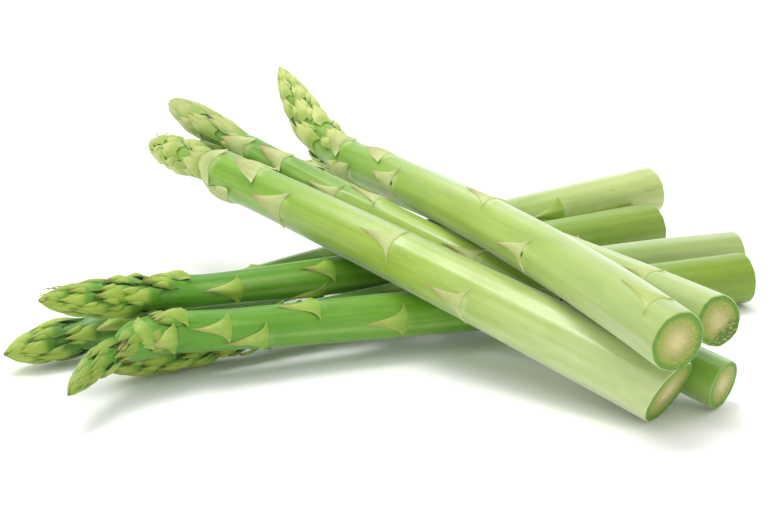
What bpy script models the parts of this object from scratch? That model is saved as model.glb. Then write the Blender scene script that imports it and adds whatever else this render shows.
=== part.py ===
"""A bunch of eight green asparagus spears, cut and laid loosely across each other in two layers.

Four spears lie low, with their buds to the left. Four lie over them, with their buds up and to the
left. Each spear is one closed stalk, from its cut end to the tip of its bud, and each of its larger
scale leaves is a thin shell of its own just off the stalk.

Metres, +Z up. The bunch rests on z = 0, with the middle of its footprint at the origin.
"""
import math
from dataclasses import dataclass

import bmesh
import bpy
from mathutils import Vector

MM = 0.001

# Stalk mesh
STALK_SIDES = 14
STEM_RINGS = 13
HEAD_RINGS = 12
HEAD_START = 0.76           # where the bud begins, as a fraction of the spear's length
STEM_TAPER = 1.2            # power of the stem's taper from butt to neck
HEAD_SWELL_AT = 0.35        # where the bud is thickest, as a fraction of the bud's length
HEAD_POINT_ROUND = 0.6      # smaller is rounder
BUD_LOBES = 5               # rows of bud scales that wind round the head
BUD_LOBE_TURNS = 1.5
BUD_LOBE_DEPTH = 0.05       # of the head's radius

# Scale leaf, a thin pointed shell that hugs the stalk
LEAF_GAP = 0.45 * MM        # between the leaf and the stalk
LEAF_THICK = 0.55 * MM
LEAF_EDGE_THICK = 0.25 * MM
LEAF_LIFT = 0.5 * MM        # how far the point stands off
LEAF_LENGTH = 12.5 * MM
LEAF_LENGTH_AT_HEAD = 10.0 * MM
LEAF_HALF_ANGLE = math.radians(40)
LEAF_SIDE_POWER = 0.8       # below 1 the sides bulge, above 1 they are hollow
LEAF_EARS = 0.16            # how far the base's corners reach back, as a fraction of the length
LEAF_ROWS = 5
LEAF_COLUMNS = 4

AXES_STEP = 0.004           # of the length, for reading the centreline's direction
SHARP_ANGLE = math.radians(50)
STALK_ROUGHNESS = 0.35
LEAF_ROUGHNESS = 0.55


@dataclass
class Spear:
    """Sizes in millimetres and angles in degrees, seen from the butt towards the bud."""
    name: str
    butt: tuple             # centre of the cut end
    heading: float          # direction of growth, round from +X towards +Y
    climb: float            # direction of growth, up from level
    length: float
    bow_left: float         # how far the middle bows to the left
    bow_up: float
    bend_start: float       # where the head starts to bend, as a fraction of the length
    bend_left: float        # how far the bend carries the tip
    bend_up: float
    butt_radius: float
    neck_radius: float
    head_radius: float
    head_blunt: float       # larger is blunter
    cut_tilt: float         # the cut end's slant, and the way round that it faces
    cut_toward: float
    colour: tuple
    leaves: tuple           # (distance from the butt, angle round from the top to the left)


PALE_GREEN = (0.50, 0.66, 0.24)
FRESH_GREEN = (0.40, 0.58, 0.17)
DEEP_GREEN = (0.27, 0.44, 0.12)
OLIVE_GREEN = (0.38, 0.47, 0.14)
LEAF_TAN = (0.55, 0.56, 0.30)

SPEARS = (
    Spear("top_spear", (76, -156.5, 29.5), 124.2, 2.6, 207, -4, 4.5, 0.76, -4.5, 23,
          8.5, 5.9, 7.6, 2.8, 2, 0, PALE_GREEN,
          ((9, 14), (62, 80), (88, -2), (112, -135), (130, 78), (141, -5), (154, 118), (161, 25))),
    Spear("front_spear", (76, -143, 9.7), 138.4, 9.1, 213.5, 3.5, 3.5, 0.75, -6.5, -5.4,
          9.6, 6.8, 7.1, 4.0, 12, 180, PALE_GREEN,
          ((65, 92), (95, 38), (120, -80), (138, 80), (153, 8), (162, 140), (171, 52))),
    Spear("back_spear", (88.5, -143.5, 30.5), 122.9, -1.6, 210, -3, -0.5, 0.75, 9, -1.5,
          7.2, 4.9, 5.6, 3.2, 3, 0, PALE_GREEN,
          ((27, 26), (70, -60), (118, 60), (146, -40), (160, 70))),
    Spear("middle_spear", (92.5, -132.5, 7.6), 140.7, 11.4, 225.5, 2, 0, 0.74, -10, -3,
          7.1, 4.7, 6.2, 4.2, 2, 0, FRESH_GREEN,
          ((53, 46), (84, 42), (125, 0), (138, 62), (150, -60), (162, 31), (177, 60))),
    Spear("far_upper_spear", (89.5, 22.5, 16), 213.2, -2.45, 238, -2, 1, 0.76, -1.5, 0.5,
          8.2, 6.2, 7.4, 5.0, 3, 0, OLIVE_GREEN,
          ((42, 70), (110, -60), (153, 15), (178, -50), (201, 60))),
    Spear("far_lower_spear", (87.5, 3, 9), 214.3, 4.5, 223, 1.5, -1.5, 0.75, -2, 1.5,
          8.2, 4.8, 7.2, 3.6, 3, 0, DEEP_GREEN,
          ((98, -40), (130, 45), (133, 127), (162, 78), (177, -17))),
    Spear("near_low_spear", (111, -46, 8.6), 201.0, 2.25, 221, 1.5, -1, 0.84, 30, -5.0,
          8.0, 5.8, 6.5, 3.2, 3, 0, DEEP_GREEN,
          ((116, 88), (142, 20), (150, -70), (158, 105), (169, 63), (181, 16), (185, 88), (194, 52))),
    Spear("floor_spear", (111.7, -25.7, 8.6), 205.0, -1.0, 212, -6.5, 2.5, 0.76, 0, 0.6,
          8.1, 5.0, 6.5, 4.2, 3, 0, DEEP_GREEN,
          ((60, 50), (112, 30), (134, 60), (148, -60), (160, 120))),
)


def centre(spear, t):
    """The stalk's centreline at t, from 0 at the cut end to 1 at the tip of the bud."""
    heading = math.radians(spear.heading)
    climb = math.radians(spear.climb)
    level = Vector((math.cos(heading), math.sin(heading), 0))
    forward = level * math.cos(climb) + Vector((0, 0, math.sin(climb)))
    left = Vector((-level.y, level.x, 0))
    up = forward.cross(left)
    bow = 4 * t * (1 - t)
    bend = max(0.0, (t - spear.bend_start) / (1 - spear.bend_start)) ** 2
    sideways = bow * spear.bow_left + bend * spear.bend_left
    upwards = bow * spear.bow_up + bend * spear.bend_up
    return (Vector(spear.butt) + t * spear.length * forward + sideways * left + upwards * up) * MM


def axes(spear, t):
    """Forward, left and up at t, each square to the others."""
    before, after = max(0, t - AXES_STEP), min(1, t + AXES_STEP)
    forward = (centre(spear, after) - centre(spear, before)).normalized()
    left = Vector((0, 0, 1)).cross(forward).normalized()
    return forward, left, forward.cross(left)


def radius(spear, t):
    """The stalk's radius at t: a slow taper to the neck, then the swell and point of the bud."""
    if t < HEAD_START:
        taper = (t / HEAD_START) ** STEM_TAPER
        return (spear.butt_radius + (spear.neck_radius - spear.butt_radius) * taper) * MM
    k = (t - HEAD_START) / (1 - HEAD_START)
    swell = min(1, k / HEAD_SWELL_AT)
    swell = swell * swell * (3 - 2 * swell)
    full = spear.neck_radius + (spear.head_radius - spear.neck_radius) * swell
    return full * max(0, 1 - k ** spear.head_blunt) ** HEAD_POINT_ROUND * MM


def lobe_height(spear, t):
    """How far the bud scales' rows stand above and below the stalk's radius at t."""
    k = max(0, (t - HEAD_START) / (1 - HEAD_START))
    return radius(spear, t) * BUD_LOBE_DEPTH * math.sin(math.pi * min(1, k))


def around(spear, t, angle, distance):
    """The point at a distance from the centreline, at an angle round from the top to the left."""
    forward, left, up = axes(spear, t)
    return centre(spear, t) + distance * (math.cos(angle) * up + math.sin(angle) * left)


def stalk_mesh(spear):
    """One closed stalk: rings along the centreline, a flat cut end and a pointed bud."""
    stations = [HEAD_START * i / STEM_RINGS for i in range(STEM_RINGS)]
    for i in range(HEAD_RINGS):
        stations.append(HEAD_START + (1 - HEAD_START) * math.sin(math.pi / 2 * i / HEAD_RINGS))
    start = Vector(spear.butt) * MM
    slant = math.tan(math.radians(spear.cut_tilt))
    slant_angle = math.radians(spear.cut_toward)
    bm = bmesh.new()
    rings = []
    for t in stations:
        k = max(0, (t - HEAD_START) / (1 - HEAD_START))
        ring = []
        for side in range(STALK_SIDES):
            angle = 2 * math.pi * side / STALK_SIDES
            lobe = math.cos(BUD_LOBES * angle + 2 * math.pi * BUD_LOBE_TURNS * k)
            reach = radius(spear, t) + lobe * lobe_height(spear, t)
            point = around(spear, t, angle, reach)
            if t == 0:
                point += axes(spear, 0)[0] * reach * slant * math.cos(angle - slant_angle)
            ring.append(bm.verts.new(point - start))
        rings.append(ring)
    for first, second in zip(rings, rings[1:]):
        for side in range(STALK_SIDES):
            after = (side + 1) % STALK_SIDES
            bm.faces.new((first[side], second[side], second[after], first[after]))
    bm.faces.new(rings[0])
    tip = bm.verts.new(centre(spear, 1) - start)
    for side in range(STALK_SIDES):
        bm.faces.new((rings[-1][side], tip, rings[-1][(side + 1) % STALK_SIDES]))
    bmesh.ops.recalc_face_normals(bm, faces=bm.faces)
    mesh = bpy.data.meshes.new(spear.name + "_stalk")
    bm.to_mesh(mesh)
    bm.free()
    return mesh


def leaf_mesh(spear, name, distance, angle):
    """One thin pointed shell on the stalk, from its hollow base to its point."""
    share = distance / spear.length
    length = LEAF_LENGTH + (LEAF_LENGTH_AT_HEAD - LEAF_LENGTH) * min(1, share / HEAD_START)
    start = Vector(spear.butt) * MM
    bm = bmesh.new()

    def sheet(outer):
        rows = []
        for row in range(LEAF_ROWS):
            s = row / LEAF_ROWS
            line = []
            for column in range(LEAF_COLUMNS + 1):
                b = 2 * column / LEAF_COLUMNS - 1
                along = s - LEAF_EARS * b * b * (1 - s)
                t = share + along * length / (spear.length * MM)
                lift = LEAF_GAP + LEAF_LIFT * s * s
                if outer:
                    lift += LEAF_THICK + (LEAF_EDGE_THICK - LEAF_THICK) * b * b
                turn = angle + b * LEAF_HALF_ANGLE * (1 - s) ** LEAF_SIDE_POWER
                reach = radius(spear, t) + lobe_height(spear, t) + lift
                line.append(bm.verts.new(around(spear, t, turn, reach) - start))
            rows.append(line)
        t = share + length / (spear.length * MM)
        reach = radius(spear, t) + lobe_height(spear, t) + LEAF_GAP + LEAF_LIFT
        if outer:
            reach += LEAF_EDGE_THICK
        point = bm.verts.new(around(spear, t, angle, reach) - start)
        for first, second in zip(rows, rows[1:]):
            for column in range(LEAF_COLUMNS):
                bm.faces.new((first[column], first[column + 1], second[column + 1], second[column]))
        for column in range(LEAF_COLUMNS):
            bm.faces.new((rows[-1][column], rows[-1][column + 1], point))
        return rows[0] + [row[-1] for row in rows[1:]] + [point] + [row[0] for row in rows[:0:-1]]

    inner_rim = sheet(outer=False)
    outer_rim = sheet(outer=True)
    for i in range(len(inner_rim)):
        j = (i + 1) % len(inner_rim)
        bm.faces.new((inner_rim[i], inner_rim[j], outer_rim[j], outer_rim[i]))
    bmesh.ops.recalc_face_normals(bm, faces=bm.faces)
    mesh = bpy.data.meshes.new(name)
    bm.to_mesh(mesh)
    bm.free()
    return mesh


def material(name, colour, roughness):
    """A plain coloured material, for telling the parts apart."""
    made = bpy.data.materials.new(name)
    made.use_nodes = True
    shader = made.node_tree.nodes["Principled BSDF"]
    shader.inputs["Base Color"].default_value = (*colour, 1)
    shader.inputs["Roughness"].default_value = roughness
    shader.inputs["Metallic"].default_value = 0
    return made


def add_object(name, mesh, finish, parent=None):
    """A new object with one material, under its stalk where it has one."""
    mesh.materials.append(finish)
    mesh.shade_smooth()
    mesh.set_sharp_from_angle(angle=SHARP_ANGLE)
    made = bpy.data.objects.new(name, mesh)
    made.parent = parent
    bpy.context.collection.objects.link(made)
    return made


def centre_on_floor(stalks):
    """Moves the whole bunch so that its box's bottom centre is at the origin."""
    bpy.context.view_layer.update()
    points = [o.matrix_world @ v.co for o in bpy.data.objects for v in o.data.vertices]
    low = Vector([min(p[i] for p in points) for i in range(3)])
    high = Vector([max(p[i] for p in points) for i in range(3)])
    move = Vector((-(low.x + high.x) / 2, -(low.y + high.y) / 2, -low.z))
    for stalk in stalks:
        stalk.location += move


def build():
    """Makes all the spears and their scale leaves."""
    for old in list(bpy.data.objects):
        bpy.data.objects.remove(old)
    leaf_finish = material("scale_leaf", LEAF_TAN, LEAF_ROUGHNESS)
    stalks = []
    for spear in SPEARS:
        finish = material(spear.name, spear.colour, STALK_ROUGHNESS)
        stalk = add_object(spear.name + "_stalk", stalk_mesh(spear), finish)
        stalk.location = Vector(spear.butt) * MM
        stalks.append(stalk)
        for number, (distance, degrees) in enumerate(spear.leaves, start=1):
            name = f"{spear.name}_leaf_{number}"
            add_object(name, leaf_mesh(spear, name, distance, math.radians(degrees)), leaf_finish, stalk)
    centre_on_floor(stalks)


if __name__ == "__main__":
    build()
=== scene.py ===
"""Looks for a bunch of eight green asparagus spears, lying crossed in two layers.

Each spear's centreline, thickness and leaf places are read from its CAD nodes. One straight stalk
and one flat plate are modelled once, then copied and laid out along each spear: the stalk as its
skin and cut end, the plate as its scale leaves and as the scales of its bud.
"""
import math

import bmesh
import bpy
import numpy as np
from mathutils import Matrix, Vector


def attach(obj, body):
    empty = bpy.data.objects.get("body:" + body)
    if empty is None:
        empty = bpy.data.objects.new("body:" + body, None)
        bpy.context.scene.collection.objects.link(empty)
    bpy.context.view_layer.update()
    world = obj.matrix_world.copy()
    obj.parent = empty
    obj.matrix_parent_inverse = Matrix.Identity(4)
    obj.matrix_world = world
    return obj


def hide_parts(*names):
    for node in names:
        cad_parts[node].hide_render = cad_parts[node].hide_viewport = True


bl_info = {
    "name": "Asparagus bunch",
    "version": (1, 0, 0),
    "blender": (4, 5, 0),
    "location": "3D View > Sidebar > Asparagus",
    "description": "Makes the skins, scale leaves, buds and cut ends of a bunch of asparagus",
    "category": "Object",
}

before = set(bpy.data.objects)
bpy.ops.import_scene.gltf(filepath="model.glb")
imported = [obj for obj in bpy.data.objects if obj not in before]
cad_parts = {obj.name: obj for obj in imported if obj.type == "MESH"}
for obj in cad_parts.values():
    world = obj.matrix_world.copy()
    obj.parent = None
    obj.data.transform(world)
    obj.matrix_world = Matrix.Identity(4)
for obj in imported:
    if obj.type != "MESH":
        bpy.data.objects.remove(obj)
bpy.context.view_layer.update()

MM = 0.001

# What the spears have in common, unless their own rows say otherwise:
#   torn       how ragged the cut end is
#   stain      how marked the butt is
#   frost      how far the butt is paled white: a bloom, and partly a painted sheen
#   wax        strength of the bloom on the skin
#   gloss      how blurred the skin's shine is
#   light      how pale the bud is
#   dry        how brown the points of the bud's scales are
#   ears       how far a leaf's two base corners reach back, as a share of its length
#   lip        how far the middle of a leaf's base stands off, in millimetres
#   full_from  from which share of the way to the bud the leaves are full, not hollow-sided
#   bare       from the last leaf's base to the first scale of the bud, in millimetres
USUAL = dict(torn=0.2, stain=0.8, frost=0.0, wax=1.0, gloss=0.3, light=1.0, dry=0.6,
             ears=0.14, lip=0.15, full_from=0.72, bare=4)
# The spears, by the start of their CAD nodes' names. tone picks the colours, seed starts the random
# draws, bud_turn is where the spiral of bud scales starts, core is the bud's core as a share of its
# radius, and point is how much slimmer than the CAD's the bud ends. The bud scales' length, width
# and gap are shares of the usual.
SPEARS = {
    "top_spear": dict(
        tone="pale", seed=11, stain=0.15, gloss=0.28, dry=0.8,
        bud_turn=20, core=0.76, point=0.55, scale_length=1.05, scale_width=1.15, scale_gap=1.25),
    "front_spear": dict(
        tone="pale", seed=23, stain=0.15, frost=0.42, gloss=0.24, light=0.82,
        bud_turn=75, core=0.64, point=0.0, scale_length=1.0, scale_width=1.45, scale_gap=1.6),
    "back_spear": dict(
        tone="pale", seed=31, torn=1.0, stain=0.4, wax=0.8, gloss=0.28, light=0.9, dry=0.7,
        ears=0.12,
        bud_turn=40, core=0.70, point=0.4, scale_length=1.1, scale_width=1.1, scale_gap=1.2),
    "middle_spear": dict(
        tone="fresh", seed=47, stain=0.3, wax=0.8, gloss=0.26, light=0.75,
        bud_turn=10, core=0.70, point=0.35, scale_length=2.0, scale_width=1.3, scale_gap=1.8),
    "far_upper_spear": dict(
        tone="olive", seed=53, stain=0.6, wax=0.8, gloss=0.32, dry=0.5,
        ears=0.0, lip=0.35, full_from=0.92, bare=8,
        bud_turn=60, core=0.62, point=0.4, scale_length=1.4, scale_width=1.15, scale_gap=0.95),
    "far_lower_spear": dict(
        tone="deep", seed=61, wax=0.25, dry=1.0, ears=-0.06, lip=0.7, full_from=0.84,
        bud_turn=30, core=0.60, point=0.35, scale_length=1.3, scale_width=1.05, scale_gap=1.05),
    "near_low_spear": dict(
        tone="deep", seed=79, wax=0.3, light=0.76, dry=0.7, ears=-0.05, lip=0.7, full_from=0.84,
        bud_turn=80, core=0.62, point=0.5, scale_length=1.35, scale_width=1.2, scale_gap=1.4),
    "floor_spear": dict(
        tone="deep", seed=83, frost=0.24, dry=1.7, ears=0.0, lip=0.5, full_from=0.84,
        bud_turn=50, core=0.60, point=0.3, scale_length=1.15, scale_width=1.05, scale_gap=1.15),
}
# Dry threads at a tip: how far back from it each starts and how far on it reaches, in millimetres,
# its angle round the bud in degrees, how far it stands off in millimetres, and how much it curls
THREADS = {
    "far_lower_spear": ((7, 6.4, -35, 1.7, 0.5), (5, 5.6, -60, 1.1, -0.4), (9, 7, -15, 1.3, 0.3)),
    "front_spear": ((9, -1, 20, 2.2, 0.3), (7, 1, -30, 2.0, -0.4), (11, 1, 5, 1.6, 0.2)),
}
# Leaves with a small dark dot of painted crease shade at their base; the dot's half width, height
# and length, and where it sits
CREASE_SHADED_LEAVES = ("top_spear_leaf_2", "top_spear_leaf_5", "middle_spear_leaf_1")
CREASE_SHADE_HALF_SIZE = (0.7 * MM, 0.4 * MM, 0.35 * MM)
CREASE_SHADE_BELOW = 0.5 * MM
CREASE_SHADE_STANDS_OFF = 0.05 * MM
# Spears without small buds beside their last leaves
PLAIN_NECKS = ("far_upper_spear",)

# How far the CAD leaves' base corners reach back, as a share of their length
CAD_LEAF_EARS = 0.16

# Rings of the cut end, as shares of the radius, from the rim inwards
CUT_RINGS = (0.975, 0.94, 0.89, 0.82, 0.74, 0.64, 0.52, 0.40, 0.27, 0.13)
# Heights of the first rings above the cut, and how far the rim is rounded in there
RIM_HEIGHTS = (0.0, 0.12 * MM, 0.32 * MM, 0.65 * MM)
RIM_INSETS = (0.30 * MM, 0.11 * MM, 0.02 * MM, 0.0)

GOLDEN_TURN = math.radians(137.508)
THREAD_SIDE = (0.3, 0.9, 0.1)       # not along any thread
CREASE_ANGLE = math.radians(55)

# Length over which the skin's ribs and dents change
SLOW_WAVE = 60 * MM
# A node's ridge: how far below its leaf's base, and the widths of it and of the swelling, below
# and above that. Ridges nearer the cut than the last length are fainter.
RIDGE_PLACE = 0.3 * MM
RIDGE_WIDTHS = (2.6 * MM, 1.4 * MM)
SWELLING_WIDTHS = (9 * MM, 3.5 * MM)
FULL_RIDGES_FROM = 45 * MM

# How far up the stalk the cut's lean reaches, how deep its middle is sunk and how rough it is
LEAN_LENGTH = 9 * MM
CUT_SUNK = 0.25 * MM
CUT_ROUGHNESS = 0.10 * MM

# How far before the bud's first scale the skin starts to go in to the core, and over what length
CORE_BEFORE = 3 * MM
CORE_LENGTH = 8 * MM

# The most that a leaf is padded out to where the CAD's neck is thicker than the stalk, and how deep
# the roots of leaves and side buds lie in the skin
MOST_PADDING = 0.8 * MM
ROOT_DEPTH = 0.10 * MM

# No bud scale starts nearer the tip than this or reaches nearer than that, and over the first
# length of the bud they are less crowded
BARE_TIP = 2.0 * MM
TIP_MARGIN = 0.3 * MM
LOOSE_LENGTH = 14 * MM


def smooth(x):
    """0 below 0, 1 above 1, and an S-shaped rise between."""
    x = np.clip(x, 0, 1)
    return x * x * (3 - 2 * x)


def rounded(x):
    """0 below 0, 1 above 1, and a rise between that is steep at first and level at its end."""
    return np.sin(math.pi / 2 * np.clip(x, 0, 1))


def unit(vectors):
    return vectors / np.linalg.norm(vectors, axis=1)[:, None]


def between(at, places, rows):
    """Rows of three numbers, given at places, read off at other places."""
    return np.stack([np.interp(at, places, rows[:, i]) for i in range(3)], axis=-1)


def turn_between(angle, middle):
    """The angle counted from middle, from -pi to pi."""
    return (angle - middle + math.pi) % (2 * math.pi) - math.pi


# ---- the spears, read from the frame

def node_points(name):
    """A CAD node's corners, each once."""
    points = np.array([v.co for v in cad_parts[name].data.vertices])
    return np.unique(points.round(7), axis=0)


class Spear:
    """One spear's centreline, thickness, cut and leaf places."""

    SAMPLES = 700
    FITS = 6
    KNOTS = (0.72, 0.80, 0.88)      # places where the curve may bend more, as shares
    TIP_WEIGHT = 40
    BUTT_DEPTH = 6 * MM             # all corners nearer the cut than this belong to it
    RING_GAP = 0.5 * MM             # rings of corners lie further apart than this
    TIP_RADIUS = 0.2 * MM
    EVENED_RINGS = 7                # samples on each side that the radius is evened over
    NECK_BEFORE = 0.85
    POINT_LENGTH = 2.5 * MM

    def __init__(self, name, look):
        self.name = name
        self.look = look
        self.upper = look["tone"] in ("pale", "fresh")
        self.rng = np.random.default_rng(look["seed"])
        self.read_route(node_points(name + "_stalk"))
        self.leaf_nodes = sorted(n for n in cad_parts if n.startswith(name + "_leaf_"))
        self.leaves = [self.read_leaf(node) for node in self.leaf_nodes]
        self.bud_start = max(leaf["base"] for leaf in self.leaves) + look["bare"] * MM
        self.waves = self.rng.uniform(0, 2 * math.pi, 8)

    def basis(self, share):
        bends = [np.clip(share - knot, 0, None) ** 2 for knot in self.KNOTS]
        return np.stack([share ** power for power in range(4)] + bends, axis=1)

    def read_route(self, points):
        """Fits a smooth curve through the middle of the stalk's rings."""
        middle = points.mean(axis=0)
        forward = np.linalg.svd(points - middle, full_matrices=False)[2][0]
        if forward[0] > 0:
            forward = -forward          # the buds are at the left
        along = (points - middle) @ forward
        butt = along - along.min() < self.BUTT_DEPTH
        start = along[butt].mean()
        share = np.clip((along - start) / (along.max() - start), 0, 1)
        weight = np.where(share == 1, self.TIP_WEIGHT, 1.0)[:, None]
        dense = np.linspace(0, 1, self.SAMPLES)
        for _ in range(self.FITS):
            factors = np.linalg.lstsq(self.basis(share) * weight, points * weight, rcond=None)[0]
            curve = self.basis(dense) @ factors
            gaps = np.linalg.norm(points[:, None] - curve[None], axis=2)
            share = np.where(butt, 0, dense[gaps.argmin(axis=1)])
        steps = np.linalg.norm(np.diff(curve, axis=0), axis=1)
        self.places = np.concatenate([[0], np.cumsum(steps)])
        self.length = self.places[-1]
        self.centres = curve
        self.forward = unit(np.gradient(curve, self.places, axis=0))
        self.left = unit(np.cross([0, 0, 1], self.forward))
        self.up = np.cross(self.forward, self.left)
        self.read_radius(points, np.interp(share, dense, self.places))
        self.read_cut(points[butt])

    def read_radius(self, points, place):
        """The radius along the spear, from the mean distance of each ring's corners."""
        distance = np.linalg.norm(points - self.centre(place), axis=1)
        order = place.argsort()
        place, distance = place[order], distance[order]
        groups = np.split(np.arange(len(place)), np.flatnonzero(np.diff(place) > self.RING_GAP) + 1)
        ring_place = np.array([place[g].mean() for g in groups])
        ring_radius = np.array([distance[g].mean() for g in groups])
        ring_place[-1] = self.length
        ring_radius[-1] = self.TIP_RADIUS
        radius = np.interp(self.places, ring_place, ring_radius)
        kernel = np.hanning(2 * self.EVENED_RINGS + 1)
        padded = np.pad(radius, self.EVENED_RINGS, mode="edge")
        self.radii = np.convolve(padded, kernel / kernel.sum(), mode="valid")
        to_tip = (self.places - self.length) / self.POINT_LENGTH
        self.radii *= 1 - self.look["point"] * np.exp(to_tip)
        neck = np.where(self.places < self.NECK_BEFORE * self.length, self.radii, 1).argmin()
        past_neck = self.places > self.places[neck]
        self.body_radii = np.where(past_neck, np.minimum(self.radii, self.radii[neck]), self.radii)

    def read_cut(self, corners):
        """How the cut end leans: its rise across the stalk, to the left and up."""
        offset = corners - corners.mean(axis=0)
        across = np.stack([offset @ self.left[0], offset @ self.up[0]], axis=1)
        self.lean = np.linalg.lstsq(across, offset @ self.forward[0], rcond=None)[0]

    def read_leaf(self, node):
        """Where a CAD leaf sits: its base and point along the spear, and its angle round it."""
        points = node_points(node)
        gaps = np.linalg.norm(points[:, None] - self.centres[None], axis=2)
        nearest = gaps.argmin(axis=1)
        tip = nearest.argmax()
        at = nearest[tip]
        offset = points[tip] - self.centres[at]
        angle = math.atan2(offset @ self.left[at], offset @ self.up[at])
        reach = self.places[nearest.max()] - self.places[nearest.min()]
        length = reach / (1 + CAD_LEAF_EARS)
        return dict(node=node, base=self.places[at] - length, length=length, angle=angle)

    def centre(self, place):
        beyond = np.minimum(place, 0)[..., None] * self.forward[0]
        return between(place, self.places, self.centres) + beyond

    def radius(self, place):
        return np.interp(place, self.places, self.radii)

    def body_radius(self, place):
        """The bare stalk's radius: from the neck on, no more than the neck's."""
        return np.interp(place, self.places, self.body_radii)

    def lay(self, place, angle, distance):
        """Puts points given along and round a straight spear where they are on the real one."""
        spoke = np.cos(angle)[..., None] * between(place, self.places, self.up)
        spoke += np.sin(angle)[..., None] * between(place, self.places, self.left)
        return self.centre(place) + distance[..., None] * spoke


SPEAR_LIST = [Spear(name, USUAL | look) for name, look in SPEARS.items()]


# ---- settings

def number_setting(name, description, default, **limits):
    return bpy.props.FloatProperty(name=name, description=description, default=default, **limits)


def length_setting(name, description, default_mm):
    return number_setting(name, description, default_mm * MM, min=0, unit="LENGTH", precision=5)


def share_setting(name, description, default):
    return number_setting(name, description, default, min=0, max=2, subtype="FACTOR")


def angle_setting(name, description, degrees):
    return number_setting(name, description, math.radians(degrees), subtype="ANGLE")


def colour_setting(name, description, default):
    return bpy.props.FloatVectorProperty(name=name, description=description, default=default,
                                         size=3, min=0, max=1, subtype="COLOR")


class AsparagusShape(bpy.types.PropertyGroup):
    """Sizes of the skins, leaves and buds."""
    sides: bpy.props.IntProperty(name="Sides", description="Faces round a stalk",
                                 default=80, min=24)
    rings: bpy.props.IntProperty(name="Rings", description="Faces along a stalk",
                                 default=230, min=40)
    ridge: length_setting("Node ridge", "Height of the ridge that a scale leaf grows from", 0.24)
    swelling: length_setting("Node swelling", "How far the stalk swells below a leaf", 0.12)
    leaf_thickness: length_setting("Leaf thickness", "Thickness of a scale leaf", 0.30)
    leaf_dome: length_setting("Leaf dome", "Height of a leaf's middle above the stem", 0.50)
    hood_dome: length_setting("Hood dome", "Height of a leaf's middle near the bud", 1.4)
    ear_lift: length_setting("Ear lift", "How far a leaf's two base corners stand off", 0.95)
    scale_step: share_setting("Scale step", "Spacing of bud scales as a share of the radius", 0.21)
    least_step: length_setting("Least step", "Smallest spacing of bud scales", 0.75)
    hood_from: share_setting("Hoods from", "Where leaves begin to hide a small bud", 0.90)
    thread_radius: length_setting("Thread radius", "Half the thickness of a dry thread", 0.20)


class AsparagusColours(bpy.types.PropertyGroup):
    """Colours of the skins, leaves and cut ends."""
    pale_butt: colour_setting("Pale butt", "Butt of the palest spears", (0.345, 0.465, 0.115))
    pale_stem: colour_setting("Pale stem", "Stem of the palest spears", (0.32, 0.47, 0.035))
    pale_neck: colour_setting("Pale neck", "Neck of the palest spears", (0.19, 0.39, 0.012))
    fresh_butt: colour_setting("Fresh butt", "Butt of the mid-green spear", (0.24, 0.42, 0.06))
    fresh_stem: colour_setting("Fresh stem", "Stem of the mid-green spear", (0.34, 0.5, 0.05))
    fresh_neck: colour_setting("Fresh neck", "Neck of the mid-green spear", (0.12, 0.32, 0.012))
    olive_butt: colour_setting("Olive butt", "Butt of the olive spear", (0.46, 0.55, 0.17))
    olive_stem: colour_setting("Olive stem", "Stem of the olive spear", (0.19, 0.37, 0.02))
    olive_neck: colour_setting("Olive neck", "Neck of the olive spear", (0.095, 0.25, 0.03))
    deep_butt: colour_setting("Deep butt", "Butt of the deep green spears", (0.205, 0.325, 0.015))
    deep_stem: colour_setting("Deep stem", "Stem of the deep green spears", (0.14, 0.34, 0.015))
    deep_neck: colour_setting("Deep neck", "Neck of the deep green spears", (0.105, 0.3, 0.015))
    leaf_pale: colour_setting("Pale leaf", "Leaves of the upper spears", (0.455, 0.485, 0.185))
    leaf_deep: colour_setting("Deep leaf", "Leaves of the lower spears", (0.33, 0.45, 0.075))
    leaf_point: colour_setting("Leaf point", "Dry point of a scale leaf", (0.40, 0.26, 0.13))
    bud_pale: colour_setting("Pale bud", "Bud scales of the upper spears", (0.585, 0.635, 0.2))
    bud_deep: colour_setting("Deep bud", "Bud scales of the lower spears", (0.37, 0.48, 0.07))
    bud_dry: colour_setting("Dry bud", "Dry points and patches of bud scales", (0.28, 0.20, 0.05))
    pith: colour_setting("Pith", "Middle of a cut end", (0.50, 0.45, 0.19))
    cortex: colour_setting("Cortex", "Ring inside the rim of a cut end", (0.30, 0.36, 0.06))
    rim: colour_setting("Rim", "Rim of a cut end", (0.13, 0.29, 0.03))


class AsparagusStage(bpy.types.PropertyGroup):
    """Floor, light and camera."""
    floor_size: length_setting("Floor", "Side of the floor", 8000)
    sky: share_setting("Sky", "Strength of the light from the front half", 0.80)
    back_sky: share_setting("Back sky", "Strength of the light from the wall behind", 1.45)
    lamp: number_setting("Lamp", "Strength of the overhead light", 1.25)
    lamp_width: angle_setting("Lamp width", "Width of the overhead light", 26)
    fill: number_setting("Fill", "Strength of the soft light in front", 0.38)
    fill_width: angle_setting("Fill width", "Width of the soft light in front", 90)
    front_lamp: number_setting("Front lamp", "Strength of the light above the front", 0.30)
    front_width: angle_setting("Front width", "Width of the light above the front", 40)
    aim: bpy.props.FloatVectorProperty(name="Aim", description="Point that the camera looks at",
                                       default=(-0.0019, 0.0657, -0.0001), unit="LENGTH")
    distance: length_setting("Distance", "From the camera to its aim", 733)
    height_angle: angle_setting("Height angle", "How far the camera looks down", 18.8)
    focal_length: number_setting("Focal length", "Of the camera's lens, in mm", 102.05, min=1)


# ---- modelling helpers

def deselect_all():
    if bpy.context.object is not None and bpy.context.object.mode != "OBJECT":
        bpy.ops.object.mode_set(mode="OBJECT")
    bpy.ops.object.select_all(action="DESELECT")


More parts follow.
